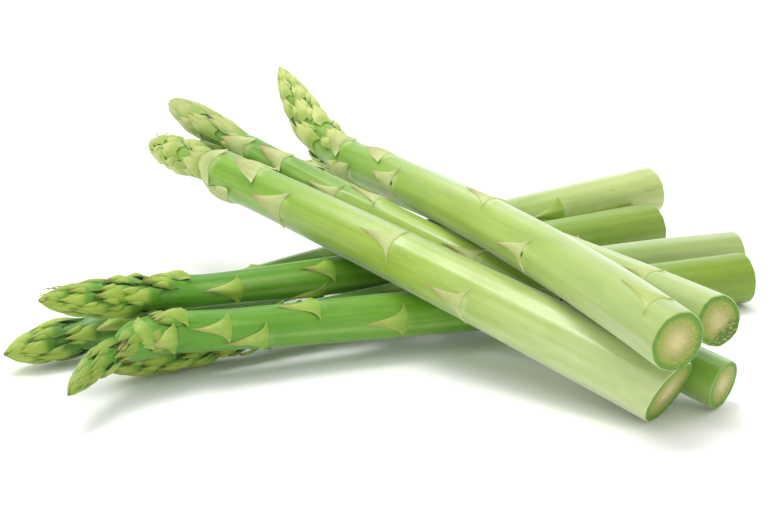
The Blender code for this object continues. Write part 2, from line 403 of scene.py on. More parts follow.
def select_in_edit_mode(piece, kind, wanted):
    """Selects only the faces or edges that wanted says yes to."""
    bpy.ops.mesh.select_mode(type=kind)
    bpy.ops.mesh.select_all(action="DESELECT")
    bm = bmesh.from_edit_mesh(piece.data)
    for part in bm.faces if kind == "FACE" else bm.edges:
        if wanted(part):
            part.select_set(True)
    bmesh.update_edit_mesh(piece.data)


def straight_tube(sides, rings):
    """A straight closed tube, one unit long and one in radius."""
    deselect_all()
    bpy.ops.mesh.primitive_cylinder_add(vertices=sides, radius=1, depth=1, location=(0, 0, 0.5))
    tube = bpy.context.object
    bpy.ops.object.transform_apply(location=True, rotation=False, scale=False)
    bpy.ops.object.mode_set(mode="EDIT")
    select_in_edit_mode(tube, "EDGE", lambda e: abs(e.verts[0].co.z - e.verts[1].co.z) > 0.5)
    bpy.ops.mesh.subdivide_edgering(number_cuts=rings - 1)
    bpy.ops.object.mode_set(mode="OBJECT")
    return tube


def straight_stalk(shape):
    """A straight stalk, one unit long and one in radius, with the rings of its cut end."""
    stalk = straight_tube(shape.sides, shape.rings)
    bpy.ops.object.mode_set(mode="EDIT")
    select_in_edit_mode(stalk, "FACE",
                        lambda f: len(f.verts) > 4 and f.calc_center_median().z < 0.5)
    outer = 1.0
    for ring in CUT_RINGS:
        bpy.ops.mesh.inset(thickness=(outer - ring) * math.cos(math.pi / shape.sides))
        outer = ring
    bpy.ops.mesh.poke()
    select_in_edit_mode(stalk, "FACE", lambda f: len(f.verts) > 4)
    bpy.ops.mesh.merge(type="CENTER")
    bpy.ops.object.mode_set(mode="OBJECT")
    return stalk


def flat_plate(columns, rows):
    """A flat plate from -1 to 1 across, 0 to 1 along and 0 to 1 through, to be shaped as a leaf."""
    deselect_all()
    bpy.ops.mesh.primitive_grid_add(x_subdivisions=columns, y_subdivisions=rows, size=2)
    plate = bpy.context.object
    bpy.ops.object.mode_set(mode="EDIT")
    bpy.ops.mesh.select_all(action="SELECT")
    bpy.ops.transform.resize(value=(1, 0.5, 1), center_override=(0, 0, 0))
    bpy.ops.transform.translate(value=(0, 0.5, 0))
    bpy.ops.object.mode_set(mode="OBJECT")
    solid = plate.modifiers.new("thickness", "SOLIDIFY")
    solid.thickness = 1
    solid.offset = 1
    bpy.ops.object.modifier_apply(modifier=solid.name)
    return plate


def mesh_arrays(piece):
    """A mesh's points as an array, and its faces as lists."""
    points = np.empty(len(piece.data.vertices) * 3)
    piece.data.vertices.foreach_get("co", points)
    return points.reshape(-1, 3), [tuple(face.vertices) for face in piece.data.polygons]


def discard(piece):
    mesh = piece.data
    bpy.data.objects.remove(piece)
    bpy.data.meshes.remove(mesh)


def add_values(mesh, name, values):
    """Stores one number for each point of a mesh, or three."""
    kind = "FLOAT" if values.ndim == 1 else "FLOAT_VECTOR"
    layer = mesh.attributes.new(name, kind, "POINT")
    layer.data.foreach_set("value" if values.ndim == 1 else "vector", values.ravel())


def finished_piece(name, points, faces, values, materials):
    """A new piece from points and faces, with its values and materials, shaded smooth."""
    mesh = bpy.data.meshes.new(name)
    mesh.from_pydata(points.tolist(), [], faces)
    for label, numbers in values.items():
        add_values(mesh, label, np.asarray(numbers, dtype=float))
    for made in materials:
        mesh.materials.append(made)
    piece = bpy.data.objects.new(name, mesh)
    bpy.context.scene.collection.objects.link(piece)
    deselect_all()
    piece.select_set(True)
    bpy.context.view_layer.objects.active = piece
    bpy.ops.object.mode_set(mode="EDIT")
    bpy.ops.mesh.select_all(action="SELECT")
    bpy.ops.mesh.normals_make_consistent(inside=False)
    bpy.ops.object.mode_set(mode="OBJECT")
    bpy.ops.object.shade_smooth_by_angle(angle=CREASE_ANGLE)
    return piece


# ---- surfaces

def leaf_outline(rise, nearness, full_from):
    """Half the width of a leaf at a share of its length: hollow sides low down, full by the bud."""
    hollow = 0.42 * np.exp(-rise / 0.10) + 0.58 * (1 - rise) ** 1.2
    full = (1 - rise) ** 0.72 * (1 + 0.15 * np.sin(math.pi * rise))
    hooded = smooth((nearness - full_from) / 0.2)
    return np.maximum(0.02, hollow + (full - hollow) * hooded)


def leaf_half_angle(spear, leaf):
    """Half the angle that a leaf's base takes up round the stalk."""
    nearness = leaf["base"] / spear.bud_start
    return math.radians(37 + 11 * nearness)


def skin_height(spear, shape, place, angle):
    """How far the skin stands off the plain round stalk, and how much of it is a node's rim."""
    radius = spear.radius(place)
    wave = spear.waves
    slow = place / SLOW_WAVE
    height = radius * 0.012 * np.sin(2 * angle + wave[0] + slow)
    height += radius * 0.008 * np.sin(3 * angle + wave[1] - 0.7 * slow)
    height += radius * 0.008 * np.sin(7 * angle + wave[2] + 0.5 * np.sin(slow + wave[3]))
    height += radius * 0.006 * np.sin(13 * angle + wave[4] + 0.8 * np.sin(1.7 * slow + wave[5]))
    height += radius * 0.010 * np.sin(2.3 * slow + wave[6])
    rim = np.zeros_like(place)
    for leaf in spear.leaves:
        half = leaf_half_angle(spear, leaf)
        across = turn_between(angle, leaf["angle"]) / half
        behind = leaf["base"] - spear.look["ears"] * leaf["length"] * across ** 2 - place
        fade = 1 - smooth((np.abs(across) - 0.25) / 0.65)
        fade *= smooth(leaf["base"] / FULL_RIDGES_FROM)
        spread = np.where(behind > RIDGE_PLACE, *RIDGE_WIDTHS)
        ridge = np.exp(-((behind - RIDGE_PLACE) / spread) ** 2) * fade
        swell = np.exp(-(behind / np.where(behind > 0, *SWELLING_WIDTHS)) ** 2)
        height += shape.ridge * ridge + shape.swelling * swell * fade
        rim = np.maximum(rim, ridge)
    return height, rim


def skin_radius(spear, shape, place, angle):
    """The skin's distance from the centreline, and its rim share."""
    height, rim = skin_height(spear, shape, place, angle)
    under_bud = smooth((place - spear.bud_start + CORE_BEFORE) / CORE_LENGTH)
    body = spear.body_radius(place)
    core = np.minimum(body, spear.look["core"] * spear.radius(place))
    return body + (core - body) * under_bud + height * (1 - under_bud), rim


def point_values(place, angle, distance, **shares):
    """Each point's place if the spear were straight, in millimetres, and its other values."""
    straight = np.stack([distance * np.cos(angle), distance * np.sin(angle), place], axis=-1) / MM
    return {"place": straight, **{k: np.broadcast_to(v, place.shape) for k, v in shares.items()}}


def make_skin(spear, shape, points, faces, materials):
    """The stalk's skin and cut end, laid along the spear."""
    share = points[:, 2]
    across = np.hypot(points[:, 0], points[:, 1])
    angle = np.arctan2(points[:, 1], points[:, 0])
    ring = np.rint(share * shape.rings).astype(int)
    place = share * spear.length
    rim_inset = np.zeros_like(place)
    for number, (height, inset) in enumerate(zip(RIM_HEIGHTS, RIM_INSETS)):
        place = np.where(ring == number, height, place)
        rim_inset = np.where(ring == number, inset, rim_inset)
    radius, rim = skin_radius(spear, shape, place, angle)
    radius = (radius - rim_inset) * np.where(share > 0.999, 0, across)
    cut = (ring == 0) & (across < 0.999)
    lean = spear.lean[0] * np.sin(angle) + spear.lean[1] * np.cos(angle)
    leaning = np.exp(-place / LEAN_LENGTH)
    rough = (0.5 + 2 * spear.look["torn"]) * CUT_ROUGHNESS
    wave = spear.waves
    torn = np.sin(9 * angle + wave[0]) + np.sin(17 * angle + wave[1] + 6 * across)
    torn += np.sin(31 * across * np.cos(angle) + wave[2])
    torn += np.sin(27 * across * np.sin(angle) + wave[3])
    sunk = CUT_SUNK * (1 - across ** 2)
    laid = place + lean * radius * leaning + np.where(cut, sunk + 0.3 * rough * torn, 0)
    laid += np.where((ring == 0) & ~cut, 0.15 * rough * torn, 0)
    world = spear.lay(laid, angle, radius)
    slots = [1 if all(cut[i] or ring[i] == 0 for i in face) else 0 for face in faces]
    distance = spear.radius(place) * np.where(cut, across, 1)
    values = point_values(place, angle, distance, along=place / spear.length,
                          rim=rim, across=across)
    piece = finished_piece(spear.name + "_skin", world, faces, values, materials)
    piece.data.polygons.foreach_set("material_index", slots)
    return piece


def join_shapes(shapes):
    """Joins several shapes' points, faces and values into one."""
    points, faces, values, count = [], [], {}, 0
    for shape_points, shape_faces, shape_values in shapes:
        points.append(shape_points)
        faces += [tuple(i + count for i in face) for face in shape_faces]
        for label, numbers in shape_values.items():
            values.setdefault(label, []).append(numbers)
        count += len(shape_points)
    return np.concatenate(points), faces, {k: np.concatenate(v) for k, v in values.items()}


def joined_piece(name, shapes, material):
    """One piece from several shapes, each with its points, faces and values."""
    return finished_piece(name, *join_shapes(shapes), [material])


def leaf_shape(spear, shape, leaf, plate_points, plate_faces):
    """One scale leaf: a domed shell on the skin, with two base corners and a point."""
    draw = spear.rng.uniform
    side, rise, outer = plate_points.T
    nearness = leaf["base"] / spear.bud_start
    dome = shape.leaf_dome + (shape.hood_dome - shape.leaf_dome) * smooth((nearness - 0.6) / 0.45)
    dome = dome * draw(0.8, 1.2)
    middle = leaf["base"] + 0.5 * leaf["length"]
    dome = dome + min(spear.radius(middle) - spear.body_radius(middle), MOST_PADDING)
    length = leaf["length"] * draw(1.05, 1.25)
    half = leaf_half_angle(spear, leaf) * draw(0.92, 1.08)
    skew = draw(-0.16, 0.16)
    ripple = 0.05 * np.sin(5 * rise + draw(0, 6)) * rise
    place = leaf["base"] + length * (rise - spear.look["ears"] * side ** 2 * (1 - rise) ** 1.4)
    width = half * leaf_outline(rise, nearness, spear.look["full_from"])
    angle = leaf["angle"] + side * width + skew * rise ** 1.5 + ripple
    skin, _ = skin_radius(spear, shape, place, angle)
    start = smooth(rise / 0.1)
    lip = spear.look["lip"] * MM * (1 - rise) ** 4 * (1 - side ** 2)
    ears = shape.ear_lift * (0.5 + nearness) * side ** 4 * (1 - rise) ** 5
    point = 0.5 * MM * rise ** 5 * draw(0.2, 1.6)
    body = dome * np.sin(math.pi * np.clip(rise * 1.05 + 0.02, 0, 1)) ** 0.9 * (1 - side ** 2)
    thick = shape.leaf_thickness * (1 - 0.55 * rise) * (1 - 0.45 * side ** 2)
    top = start * (thick + body) + lip + ears + point - 0.5 * ROOT_DEPTH
    bottom = np.minimum(top - thick, ears + point - ROOT_DEPTH)
    distance = skin + np.where(outer > 0.5, top, bottom)
    values = point_values(place, angle, distance, rise=rise, side=np.abs(side), scar=0,
                          tone=draw(0, 1), near_bud=nearness)
    return spear.lay(place, angle, distance), plate_faces, values


def crease_shade_shape(spear, shape, leaf, ball_points, ball_faces):
    """A small dark dot in the middle of a leaf's base: painted shade in the crease there."""
    across, out, along = (ball_points * CREASE_SHADE_HALF_SIZE).T
    place = leaf["base"] - CREASE_SHADE_BELOW + along
    angle = leaf["angle"] + across / spear.radius(leaf["base"])
    skin, _ = skin_radius(spear, shape, np.array([leaf["base"]]), leaf["angle"])
    distance = skin + CREASE_SHADE_STANDS_OFF + out
    values = point_values(place, angle, distance, rise=0, side=0, scar=1, tone=0, near_bud=0)
    return spear.lay(place, angle, distance), ball_faces, values


def bud_scale_outline(rise):
    """Half the width of a bud scale at a share of its length: widest low down, long-pointed."""
    shoulder = 0.72 + 0.28 * rounded(rise / 0.3)
    return np.maximum(0.03, shoulder * (1 - rise ** 1.7))


def bud_scale(spear, plate, base, turn, length, half, stance):
    """One scale of the bud: a pointed boat shape whose two base corners reach back.

    stance gives its height above the axis at a place and a share of full height.
    """
    draw = spear.rng.uniform
    plate_points, plate_faces = plate
    side, rise, outer = plate_points.T
    skew = draw(-0.22, 0.22)
    full = draw(0.80, 1.0)
    roll = draw(-0.16, 0.16)
    notch = draw(0, 6, 2)
    place = base + length * (rise - 0.16 * side ** 2 * (1 - rise) ** 3)
    place = np.minimum(place, spear.length - TIP_MARGIN)
    ragged = 1 + 0.07 * np.sin(9 * rise + notch[0] + 2 * side) + 0.05 * np.sin(17 * rise + notch[1])
    angle = turn + side * half * bud_scale_outline(rise) * ragged + skew * half * rise ** 2
    crown = 1 - 0.42 * np.abs(side) ** 2.4 + roll * side * np.sin(math.pi * rise)
    along = 0.32 + 0.68 * rounded(rise / 0.5) - 0.22 * smooth((rise - 0.55) / 0.45)
    height = along * crown * full
    height = np.where(outer > 0.5, height, height - 0.13 - 0.5 * (1 - smooth(rise / 0.2)))
    distance = np.maximum(stance(place, np.maximum(height, -0.2)), 0.05 * MM)
    # The colour height is lower on a scale's underside, so there it takes more of the painted shade
    # of the hollows
    values = point_values(place, angle, distance, rise=rise, side=np.abs(side),
                          tone=draw(0, 1),
                          height=np.clip(np.where(outer > 0.5, height, height - 0.3), 0, 1))
    return spear.lay(place, angle, distance), plate_faces, values


def bud_cluster(spear, plate, base, turn, length, half, stance):
    """A bud scale with the two smaller ones that show past its sides."""
    draw = spear.rng.uniform
    shapes = [bud_scale(spear, plate, base, turn, length, half, stance)]
    for side in (-1, 1):
        shift = side * half * draw(0.45, 0.7)
        start = base + length * draw(0.22, 0.4)
        small = length * draw(0.5, 0.66)
        shapes.append(bud_scale(spear, plate, start, turn + shift, small, 0.55 * half, stance))
    return shapes


def bud_shapes(spear, shape, plate):
    """The overlapping scales of the bud, in a spiral from its base to its tip."""
    draw = spear.rng.uniform
    look = spear.look

    def on_bud(place, height):
        return spear.radius(place) * (look["core"] + (1 - look["core"]) * height)

    shapes = []
    turn = math.radians(look["bud_turn"])
    base = spear.bud_start
    full = spear.radii[spear.places > spear.bud_start].max()
    while base < spear.length - BARE_TIP:
        bulk = float(spear.radius(base)) / full
        length = look["scale_length"] * (3.5 + 6.5 * bulk) * MM * draw(0.8, 1.2)
        half = math.radians(29 + 16 * (1 - bulk)) * draw(0.85, 1.15)
        lean = draw(-0.14, 0.14)
        shapes += bud_cluster(spear, plate, base, turn + lean, min(length, spear.length - base),
                              look["scale_width"] * half, on_bud)
        turn += GOLDEN_TURN
        loose = 1 + 0.8 * (1 - smooth((base - spear.bud_start) / LOOSE_LENGTH))
        base += look["scale_gap"] * loose * max(shape.scale_step * bulk * full, shape.least_step)
    return shapes


def hooded_buds(spear, shape, leaf, plate):
    """The little bud that shows past the sides and point of a leaf near the head."""
    def on_skin(place, height):
        body = spear.body_radius(place)
        full = np.minimum(spear.radius(place) - body, MOST_PADDING) + 0.7 * shape.hood_dome
        return body + full * height - ROOT_DEPTH

    draw = spear.rng.uniform
    half = leaf_half_angle(spear, leaf)
    shapes = []
    for shift in (-0.42, 0.0, 0.42):
        start = leaf["base"] + leaf["length"] * draw(0.25, 0.5)
        length = leaf["length"] * draw(0.55, 0.75)
        turn = leaf["angle"] + shift * half
        shapes.append(bud_scale(spear, plate, start, turn, length, 0.42 * half, on_skin))
    return shapes


def thread_shape(path, tube_points, tube_faces, radius):
    """A thin thread along a path of points."""
    share = np.clip(tube_points[:, 2], 0, 1)
    steps = np.linspace(0, 1, len(path))
    centre = between(share, steps, path)
    ahead = unit(between(share, steps, np.gradient(path, axis=0)))
    across = unit(np.cross(ahead, THREAD_SIDE))
    other = np.cross(ahead, across)
    thin = radius * (1 - 0.6 * share)[:, None]
    points = centre + thin * (tube_points[:, :1] * across + tube_points[:, 1:2] * other)
    return points, tube_faces, {"place": points / MM}


def thread_path(spear, start, reach, turn, rise, curl):
    """A path that leaves the bud at start and curls over, in the spear's own places."""
    share = np.linspace(0, 1, 24)
    place = start + reach * np.sin(0.5 * math.pi * share)
    angle = math.radians(turn) + curl * share ** 2
    place_on = np.minimum(place, spear.length)
    distance = 0.8 * spear.radius(place_on) + rise * np.sin(0.85 * math.pi * share)
    past = np.maximum(place - spear.length, 0)[:, None] * spear.forward[-1]
    return spear.lay(place_on, angle, distance) + past


# ---- materials

# Tints that are mixed into the settings' colours
LIGHT_FIBRE = (0.62, 0.74, 0.30)
DARK_FIBRE = (0.20, 0.42, 0.06)
BLOTCH = (0.50, 0.66, 0.16)
# Whitish bloom of the butt, partly a painted sheen
BLOOM_AND_SHEEN = (0.68, 0.74, 0.42)
STAIN = (0.32, 0.30, 0.08)
# Painted highlight on the node ridges under the leaves
PAINTED_RIDGE_HIGHLIGHT = (0.70, 0.80, 0.45)
VEIN = (0.80, 0.78, 0.50)
PITH_GRAIN = (0.30, 0.27, 0.07)
TORN_HOLLOW = (0.10, 0.19, 0.025)
TORN_THREAD = (0.34, 0.38, 0.10)
UPPER_HEEL = (0.51, 0.57, 0.235)
UPPER_LEAF_EDGE = (0.68, 0.66, 0.38)
LOWER_LEAF_EDGE = (0.48, 0.44, 0.17)
# Painted shade in the crease at a leaf's base
CREASE_SHADE = (0.12, 0.14, 0.03)
STRAW = (0.55, 0.60, 0.25)
DARK_STRAW = (0.30, 0.26, 0.10)
FLOOR = (0.93, 0.93, 0.93)
# How far each colour of light travels inside green flesh, and how it bends light
GLOW_TINT = (0.6, 1.0, 0.25)
FLESH_IOR = 1.42


def blended(first, second, share):
    """One colour with a share of another."""
    return tuple((1 - share) * a + share * b for a, b in zip(first, second))


class Wiring:
    """Adds nodes to a tree and joins them."""

    def __init__(self, tree):
        self.tree = tree

    def node(self, kind, **settings):
        made = self.tree.nodes.new(kind)
        for key, value in settings.items():
            setattr(made, key, value)
        return made

    def put(self, socket, value):
        if isinstance(value, bpy.types.NodeSocket):
            self.tree.links.new(value, socket)
        else:
            socket.default_value = value

    def attribute(self, name, output="Fac"):
        return self.node("ShaderNodeAttribute", attribute_name=name).outputs[output]

    def math(self, operation, first, second):
        made = self.node("ShaderNodeMath", operation=operation)
        self.put(made.inputs[0], first)
        self.put(made.inputs[1], second)
        return made.outputs[0]

    def plus(self, first, second):
        return self.math("ADD", first, second)

    def times(self, first, second):
        return self.math("MULTIPLY", first, second)

    def unsteady(self, value, noise, reach):
        """A value that a noise moves up and down."""
        return self.plus(value, self.times(self.math("SUBTRACT", noise, 0.5), reach))

    def fit(self, value, low, high, to_low=0.0, to_high=1.0):
        """Maps low..high to to_low..to_high, with a smooth rise."""
        made = self.node("ShaderNodeMapRange", interpolation_type="SMOOTHSTEP")
        for index, number in enumerate((value, low, high, to_low, to_high)):
            self.put(made.inputs[index], number)
        return made.outputs[0]

    def mix(self, share, first, second, blend="MIX"):
        made = self.node("ShaderNodeMix", data_type="RGBA", blend_type=blend)
        self.put(made.inputs["Factor"], share)
        for socket, value in ((made.inputs[6], first), (made.inputs[7], second)):
            self.put(socket, (*value, 1) if isinstance(value, tuple) and len(value) == 3 else value)
        return made.outputs[2]

    def noise(self, vector, scale, detail=2.0, roughness=0.5):
        """Noise of one scale, or of a scale along each axis."""
        if isinstance(scale, tuple):
            stretched = self.node("ShaderNodeVectorMath", operation="MULTIPLY")
            self.put(stretched.inputs[0], vector)
            stretched.inputs[1].default_value = scale
            vector, scale = stretched.outputs[0], 1.0
        made = self.node("ShaderNodeTexNoise")
        self.put(made.inputs["Vector"], vector)
        made.inputs["Scale"].default_value = scale
        made.inputs["Detail"].default_value = detail
        made.inputs["Roughness"].default_value = roughness
        return made.outputs["Fac"]


def new_group(name, inputs, outputs):
    """A shader node group with named sockets. Returns it, its wiring and its two end nodes."""
    group = bpy.data.node_groups.new(name, "ShaderNodeTree")
    for label, kind in inputs:
        group.interface.new_socket(label, in_out="INPUT", socket_type="NodeSocket" + kind)
    for label, kind in outputs:
        group.interface.new_socket(label, in_out="OUTPUT", socket_type="NodeSocket" + kind)
    wiring = Wiring(group)
    return group, wiring, wiring.node("NodeGroupInput"), wiring.node("NodeGroupOutput")


def fibre_group():
    """Long fibres, soft blotches and fine pores that run along a stalk or a leaf."""
    name = "plant_fibres"
    if name in bpy.data.node_groups:
        return bpy.data.node_groups[name]
    group, w, inside, outside = new_group(
        name,
        (("Colour", "Color"), ("Place", "Vector"), ("Streaks", "Float"), ("Blotches", "Float")),
        (("Colour", "Color"), ("Height", "Float"), ("Roughness", "Float")))
    place = inside.outputs["Place"]
    broad = w.noise(place, (0.30, 0.30, 0.010))
    fine = w.noise(place, (1.9, 1.9, 0.05), 3.0, 0.6)
    blotch = w.noise(place, (0.16, 0.16, 0.05), 3.0, 0.55)
    pores = w.noise(place, (3.0, 3.0, 1.6), 1.0)
    colour = inside.outputs["Colour"]
    light = w.mix(0.5, colour, LIGHT_FIBRE)
    dark = w.mix(0.6, colour, DARK_FIBRE, blend="MULTIPLY")
    for pattern, low, high, strength, tint in (
            (broad, 0.50, 0.70, 0.45, light), (broad, 0.46, 0.30, 0.35, dark),
            (fine, 0.56, 0.74, 0.30, light), (fine, 0.42, 0.26, 0.25, dark)):
        strength = w.times(inside.outputs["Streaks"], strength)
        colour = w.mix(w.times(w.fit(pattern, low, high), strength), colour, tint)
    deep = w.mix(0.5, colour, BLOTCH, blend="MULTIPLY")
    colour = w.mix(w.times(w.fit(blotch, 0.45, 0.65), inside.outputs["Blotches"]), colour, deep)
    colour = w.mix(w.times(w.fit(pores, 0.36, 0.24), 0.25), colour, dark)
    w.put(outside.inputs["Colour"], colour)
    height = w.plus(w.times(broad, 0.4), w.times(fine, 0.5))
    w.put(outside.inputs["Height"], w.plus(height, w.times(pores, 0.12)))
    w.put(outside.inputs["Roughness"], w.fit(fine, 0.2, 0.8, 0.34, 0.46))
    return group


def new_material(name):
    """An empty Principled material. Returns it, its wiring and its shader."""
    made = bpy.data.materials.new(name)
    made.use_nodes = True
    shader = made.node_tree.nodes["Principled BSDF"]
    return made, Wiring(made.node_tree), shader


def set_plain(shader, **values):
    """Sets the shader's own sockets, named with _ for a space, to values that hold all over."""
    for label, value in values.items():
        shader.inputs[label.replace("_", " ")].default_value = value


def add_fibres(w, colour, streaks, blotches):
    made = w.node("ShaderNodeGroup", node_tree=fibre_group())
    w.put(made.inputs["Colour"], colour)
    w.put(made.inputs["Place"], w.attribute("place", "Vector"))
    w.put(made.inputs["Streaks"], streaks)
    w.put(made.inputs["Blotches"], blotches)
    return made


def finish_flesh(w, shader, colour, height, relief, glow, roughness):
    """Ends a green finish: its colour, relief and gloss, and the soft glow of light inside it.

    relief is the bump's strength and depth, glow the share of light that goes in and how deep.
    """
    w.put(shader.inputs["Base Color"], colour)
    bump = w.node("ShaderNodeBump")
    bump.inputs["Strength"].default_value, bump.inputs["Distance"].default_value = relief
    w.put(bump.inputs["Height"], height)
    w.put(shader.inputs["Normal"], bump.outputs["Normal"])
    w.put(shader.inputs["Roughness"], roughness)
    set_plain(shader, Subsurface_Weight=glow[0], Subsurface_Scale=glow[1],
              Subsurface_Radius=GLOW_TINT, IOR=FLESH_IOR)


def skin_material(spear, colours):
    """Waxy green skin, paler at the butt, with fibres and painted highlights on the node ridges."""
    look = spear.look
    made, w, shader = new_material(spear.name + "_skin")
    butt, stem, neck = (tuple(getattr(colours, f"{look['tone']}_{part}"))
                        for part in ("butt", "stem", "neck"))
    along = w.attribute("along")
    place = w.attribute("place", "Vector")
    # Partly painted sheen: the butt is paled toward a whitish bloom that also stands in for the
    # sheen along its top
    colour = w.mix(w.fit(along, 0.02, 0.45), blended(butt, BLOOM_AND_SHEEN, look["frost"]), stem)
    colour = w.mix(w.fit(along, 0.45, 0.80), colour, neck)
    stain = w.fit(w.noise(place, (0.40, 0.40, 0.09), 4.0, 0.65), 0.58, 0.70)
    colour = w.mix(w.times(stain, w.fit(along, 0.30, 0.02, 0.0, look["stain"])), colour, STAIN)
    fibres = add_fibres(w, colour, w.fit(along, 0.0, 0.5, 0.45, 1.0), 0.55)
    # Painted highlight: the node ridges under the leaves are tinted pale, as where light catches
    # them
    rim = w.fit(w.noise(place, 0.22, 1.0), 0.35, 0.60, 0.15, 0.50)
    rim = w.times(w.fit(w.attribute("rim"), 0.30, 0.95), rim)
    colour = w.mix(w.times(rim, look["wax"]), fibres.outputs["Colour"], blended(stem, PAINTED_RIDGE_HIGHLIGHT, 0.5))
    bloom = w.fit(w.noise(place, (0.11, 0.11, 0.025)), 0.40, 0.62, 0.45, 1.0)
    waxy = w.times(bloom, w.fit(along, 0.50, 0.76, look["wax"], 0.08))
    w.put(shader.inputs["Coat Weight"], waxy)
    set_plain(shader, Coat_Roughness=look["gloss"], Coat_IOR=1.55,
              Sheen_Weight=0.48 * look["wax"], Sheen_Roughness=0.45)
    finish_flesh(w, shader, colour, fibres.outputs["Height"], relief=(0.35, 0.3 * MM),
                 glow=(0.12, 2 * MM), roughness=fibres.outputs["Roughness"])
    return made


def cut_material(spear, colours):
    """The cut end: a green rim, a yellow-green ring and a tan pith dotted with veins."""
    made, w, shader = new_material(spear.name + "_cut")
    place = w.attribute("place", "Vector")
    edge = w.unsteady(w.attribute("across"), w.noise(place, 0.45, 3.0, 0.6), 0.16)
    grain = w.noise(place, 2.4, 2.0, 0.6)
    pith, cortex, rim = (tuple(getattr(colours, part)) for part in ("pith", "cortex", "rim"))
    bright = tuple(min(1, 1.18 * c + 0.03) for c in pith)
    colour = w.mix(w.fit(edge, 0.05, 0.42), bright, pith)
    colour = w.mix(w.fit(edge, 0.25, 0.74), colour, cortex)
    colour = w.mix(w.fit(edge, 0.72, 0.90), colour, rim)
    dots = w.node("ShaderNodeTexVoronoi", feature="F1")
    w.put(dots.inputs["Vector"], place)
    dots.inputs["Scale"].default_value = 0.95
    vein = w.times(w.fit(dots.outputs["Distance"], 0.30, 0.12), w.fit(edge, 0.88, 0.66))
    colour = w.mix(w.times(vein, 0.38), colour, VEIN)
    colour = w.mix(w.times(w.fit(grain, 0.48, 0.30), 0.45), colour, PITH_GRAIN)
    lower_side = w.node("ShaderNodeVectorMath", operation="DOT_PRODUCT")
    w.put(lower_side.inputs[0], place)
    lower_side.inputs[1].default_value = (-0.12, -0.08, 0)
    ragged = w.times(w.noise(place, 0.9, 3.0, 0.7), 0.9)
    torn = w.fit(w.plus(lower_side.outputs["Value"], ragged), 0.70, 1.05)
    torn = w.times(torn, spear.look["torn"])
    threads = w.fit(w.noise(place, (1.5, 0.6, 1.0), 2.0, 0.6), 0.50, 0.62)
    colour = w.mix(torn, colour, w.mix(threads, TORN_HOLLOW, TORN_THREAD))
    height = w.math("SUBTRACT", w.plus(w.times(grain, 0.6), w.times(vein, 0.5)), torn)
    finish_flesh(w, shader, colour, height, relief=(0.6, 0.35 * MM), glow=(0.15, 2 * MM),
                 roughness=0.62)
    return made


def leaf_material(spear, colours):
    """Thin scale leaf: green at its base, tan above, with a dry pinkish point and pale edges."""
    made, w, shader = new_material(spear.name + "_leaf")
    body = tuple(colours.leaf_pale if spear.upper else colours.leaf_deep)
    base = blended(getattr(colours, spear.look["tone"] + "_stem"), body, 0.5)
    place = w.attribute("place", "Vector")
    ragged = w.unsteady(w.attribute("rise"), w.noise(place, 0.35, 3.0, 0.6), 0.7)
    colour = w.mix(w.fit(ragged, 0.05, 0.45), UPPER_HEEL if spear.upper else base, body)
    clear = w.fit(w.attribute("near_bud"), 0.05, 0.30, 0.25, 1.0)
    colour = w.mix(clear, base, colour)
    dryness = w.times(w.fit(ragged, 0.45, 0.95), w.times(clear, 0.75))
    colour = w.mix(dryness, colour, tuple(colours.leaf_point))
    fibres = add_fibres(w, colour, 0.8, 0.3)
    edge = w.times(w.fit(w.attribute("side"), 0.80, 0.98), w.times(clear, 0.35))
    colour = w.mix(edge, fibres.outputs["Colour"],
                   UPPER_LEAF_EDGE if spear.upper else LOWER_LEAF_EDGE)
    # Painted shade: the dark dot in the crease at a leaf's base
    colour = w.mix(w.attribute("scar"), colour, CREASE_SHADE)
    finish_flesh(w, shader, colour, fibres.outputs["Height"], relief=(0.4, 0.25 * MM),
                 glow=(0.10, 1 * MM), roughness=0.50)
    return made


def bud_material(spear, colours, ending):
    """Bud scales: yellow-green crowns, painted shade in the hollows, and brown-tinted points and
    patches.
    """
    made, w, shader = new_material(spear.name + ending)
    body = colours.bud_pale if spear.upper else colours.bud_deep
    body = tuple(spear.look["light"] * c for c in body)
    neck = tuple(getattr(colours, spear.look["tone"] + "_neck"))
    flank = blended(neck, body, 0.45 if spear.upper else 0.0)
    # Painted shade: the scales' lowest parts and undersides take a darker hollow colour, as shade
    # falls between them
    hollow = tuple((0.75 if spear.upper else 0.25) * c for c in neck)
    rise = w.attribute("rise")
    tone = w.attribute("tone")
    height = w.attribute("height")
    # Painted shade: the lower a point lies among the scales, the more of the dark hollow colour it
    # takes
    colour = w.mix(w.fit(height, 0.20, 0.55), hollow, flank)
    colour = w.mix(w.fit(height, 0.42, 0.80), colour, body)
    colour = w.mix(w.times(tone, 0.30), colour, flank)
    colour = w.mix(w.fit(rise, 0.40, 0.08), colour, flank)
    patch = w.noise(w.attribute("place", "Vector"), 0.5, 3.0, 0.6)
    dryness = w.fit(w.unsteady(rise, patch, 1.0), 0.60, 1.05)
    dryness = w.times(dryness, w.fit(tone, 0.0, 1.0, 0.35, 0.9))
    dry = tuple(colours.leaf_point if spear.upper else colours.bud_dry)
    colour = w.mix(w.times(dryness, spear.look["dry"]), colour, dry)
    fibres = add_fibres(w, colour, 0.7, 0.5)
    edge = w.times(w.fit(w.attribute("side"), 0.75, 0.98), 0.22)
    colour = w.mix(edge, fibres.outputs["Colour"], tuple(0.6 * c + 0.25 for c in body))
    finish_flesh(w, shader, colour, fibres.outputs["Height"], relief=(0.5, 0.3 * MM),
                 glow=(0.10, 1 * MM), roughness=0.45)
    return made


def thread_material(spear):
    """Dry pale straw, darker at some lengths."""
    made, w, shader = new_material(spear.name + "_threads")
    spots = w.fit(w.noise(w.attribute("place", "Vector"), 0.6), 0.4, 0.6)
    w.put(shader.inputs["Base Color"], w.mix(spots, STRAW, DARK_STRAW))
    set_plain(shader, Roughness=0.6)
    return made


# ---- operators


